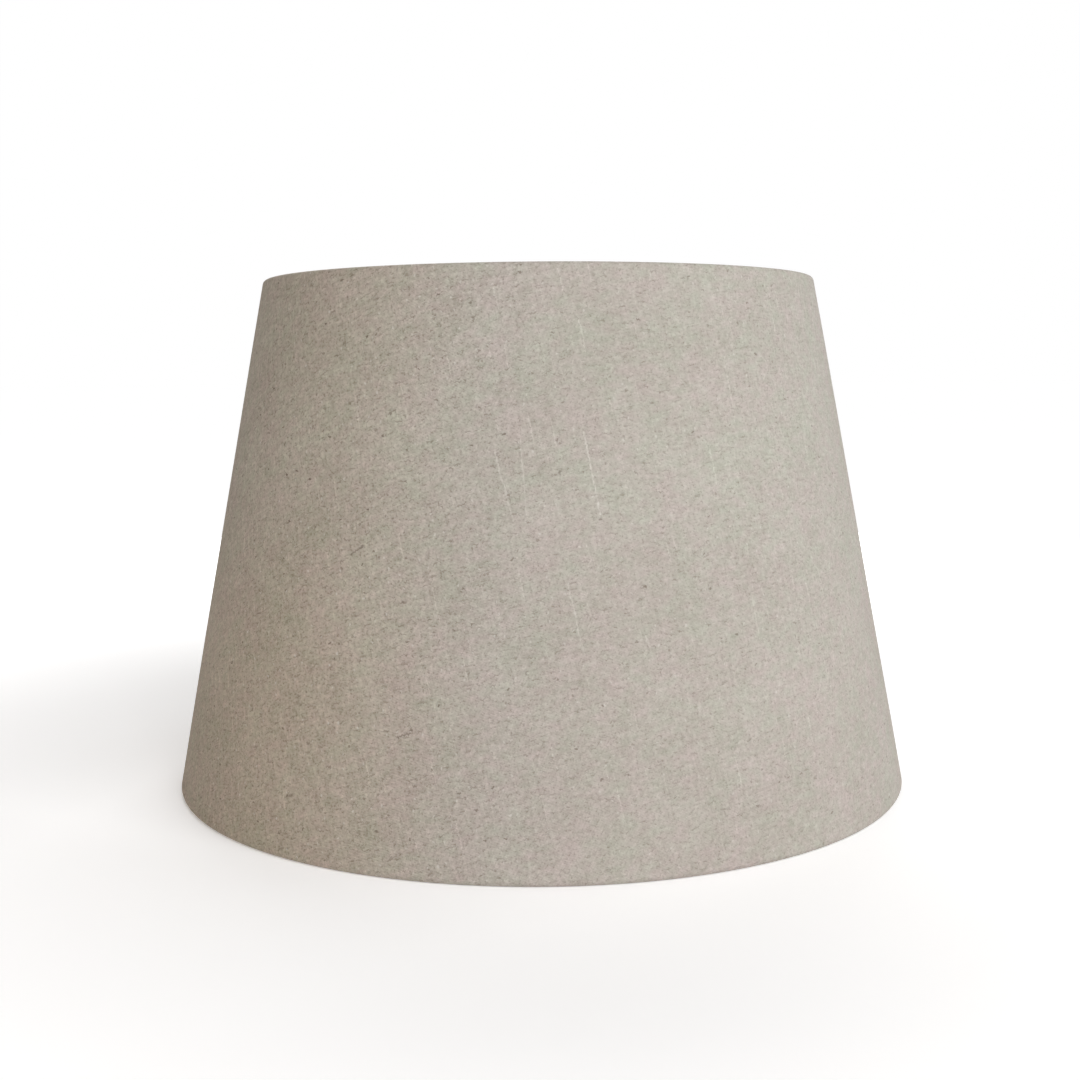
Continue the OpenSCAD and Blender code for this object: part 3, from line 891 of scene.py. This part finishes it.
# Size and distance of the light panels, and the strength of the even light
PANEL = (3.3, 2.7)
PANEL_DISTANCE = 4.5
AMBIENT = 0.03
# The camera's distance and height in radii of the standing edge, and its lens and tilt
CAMERA_AWAY = 4.0408
CAMERA_UP = 1.1094
LENS_MM = 48.35
PITCH = 0.1139
ROLL = -0.0073


def stage_finish(name, colour, near_glow, far_glow, seen_glow=0.0):
    """A matt pale surface that glows a little more further out, so it meets the surround without an edge.
    seen_glow is added for the camera only: it whitens the background and lights nothing."""
    f = Finish(name)
    f.shader.inputs["Roughness"].default_value = 0.9
    f.shader.inputs["Specular IOR Level"].default_value = 0.1
    place = f.solid_mm()
    x, y, _ = f.split(place)
    reach = f.math("SQRT", f.add(f.times(x, x), f.times(y, y)))
    tone = f.math("MULTIPLY_ADD", f.noise(place, 400.0, 2.0), 0.004, 1.0)
    f.put(f.shader.inputs["Base Color"], f.tinted(colour, tone))
    f.shader.inputs["Emission Color"].default_value = (1, 1, 1, 1)
    seen = f.tree.nodes.new("ShaderNodeLightPath").outputs["Is Camera Ray"]
    f.put(f.shader.inputs["Emission Strength"],
          f.math("MULTIPLY_ADD", seen, seen_glow, f.ramp(reach, 300.0, 1250.0, near_glow, far_glow)))
    return f.material


def revolve_stage(name, rows, material, segments=96):
    """A stage surface through (radius, height) rows turned about the Z axis."""
    ring = np.arange(segments) * TAU / segments
    mesh = bpy.data.meshes.new(name)
    points = [(r * math.cos(a), r * math.sin(a), z) for r, z in rows for a in ring]
    faces = [(k * segments + m, k * segments + (m + 1) % segments, (k + 1) * segments + (m + 1) % segments,
              (k + 1) * segments + m) for k in range(len(rows) - 1) for m in range(segments)]
    mesh.from_pydata(points, [], faces)
    mesh.materials.append(material)
    piece = bpy.data.objects.new(name, mesh)
    bpy.context.scene.collection.objects.link(piece)
    return piece


def build_stage():
    """A round pale floor, and beyond it a white surround that is only a background and lights nothing."""
    drop, floor_r = -0.2 * MM, 1.3
    floor = revolve_stage("floor", [(0.001, drop), (0.6, drop), (floor_r, drop)],
                          stage_finish("pale_floor", (0.92, 0.92, 0.92), 0.13, 0.95, 0.16))
    white = stage_finish("white_surround", (0.0, 0.0, 0.0), 1.0, 1.0)
    surround = revolve_stage("surround", [(floor_r, drop), (29.0, drop), (29.0, 14.0), (20.0, 24.0),
                                          (0.1, 29.0)], white)
    for ray in ("visible_diffuse", "visible_glossy", "visible_transmission", "visible_volume_scatter",
                "visible_shadow"):
        setattr(surround, ray, False)


def soft_light(name, azimuth_deg, elevation_deg, power, colour=(1, 1, 1)):
    """A large panel that faces the middle of the shade and isn't seen by the camera."""
    light = bpy.data.lights.new(name, "AREA")
    light.shape, light.size, light.size_y = "RECTANGLE", PANEL[0], PANEL[1]
    light.energy, light.color = power, colour
    lamp = bpy.data.objects.new(name, light)
    bpy.context.scene.collection.objects.link(lamp)
    a, e = math.radians(azimuth_deg), math.radians(elevation_deg)
    target = Vector((0, 0, TOP_WIRE[1] / 2))
    way = Vector((math.sin(a) * math.cos(e), -math.cos(a) * math.cos(e), math.sin(e)))
    lamp.location = target + way * PANEL_DISTANCE
    lamp.rotation_mode = "QUATERNION"
    lamp.rotation_quaternion = (-way).to_track_quat("-Z", "Y")
    lamp.visible_camera = False


def build_lights():
    """Five panels and a faint even light, set so that the cloth's shading follows the photograph."""
    world = bpy.data.worlds.new("studio")
    world.use_nodes = True
    world.node_tree.nodes["Background"].inputs[0].default_value = (1.0, 0.99, 0.98, 1)
    world.node_tree.nodes["Background"].inputs[1].default_value = AMBIENT
    bpy.context.scene.world = world
    soft_light("key", 40, 38, 98, (0.99, 1.0, 1.01))
    soft_light("front_fill", 5, 38, 60, (0.99, 1.0, 1.01))
    soft_light("right_fill", 105, 34, 40)
    soft_light("left_fill", -50, 38, 10, (1.0, 0.45, 0.12))
    soft_light("back_fill", 184, 40, 85)


def build_camera():
    """The photograph's viewpoint: nearly level with the upper edge, about two base widths away."""
    edge_r = float(BOTTOM_WIRE[0] + ROLL_R / OUT[0] + BOTTOM_WIRE[1] * math.tan(TAPER))
    data = bpy.data.cameras.new("camera")
    data.lens, data.sensor_width = LENS_MM, 36.0
    data.clip_start, data.clip_end = 0.02, 100.0
    camera = bpy.data.objects.new("camera", data)
    bpy.context.scene.collection.objects.link(camera)
    camera.matrix_world = (Matrix.Translation((0, -CAMERA_AWAY * edge_r, CAMERA_UP * edge_r))
                           @ Matrix.Rotation(math.pi / 2 - PITCH, 4, "X") @ Matrix.Rotation(ROLL, 4, "Z"))
    bpy.context.scene.camera = camera


def build():
    """Build every piece, then the stage, the lights and the camera."""
    linen_cloth, steel, coat = linen(), zinc_plate(), powder_coat()
    film, white = tape_film(), lining_plastic()
    cover = build_cover(linen_cloth)
    lap = build_lap(linen_cloth)
    build_lugs(steel)
    build_arms(coat)
    build_fitter(coat)
    build_reducer(moulded_nylon())
    for node in ("left_pivot_rivet", "right_pivot_rivet"):
        repaint(node, steel)
    for node in ("top_ring", "bottom_ring"):
        repaint(node, coat)
    for node in ("seam_tape", "top_ring_tape", "bottom_ring_tape"):
        repaint(node, film)
    repaint("hardback_lining", white)
    build_stage()
    build_lights()
    build_camera()
    bpy.context.scene.view_settings.view_transform = "Standard"
    bpy.context.scene.view_settings.look = "None"


build()
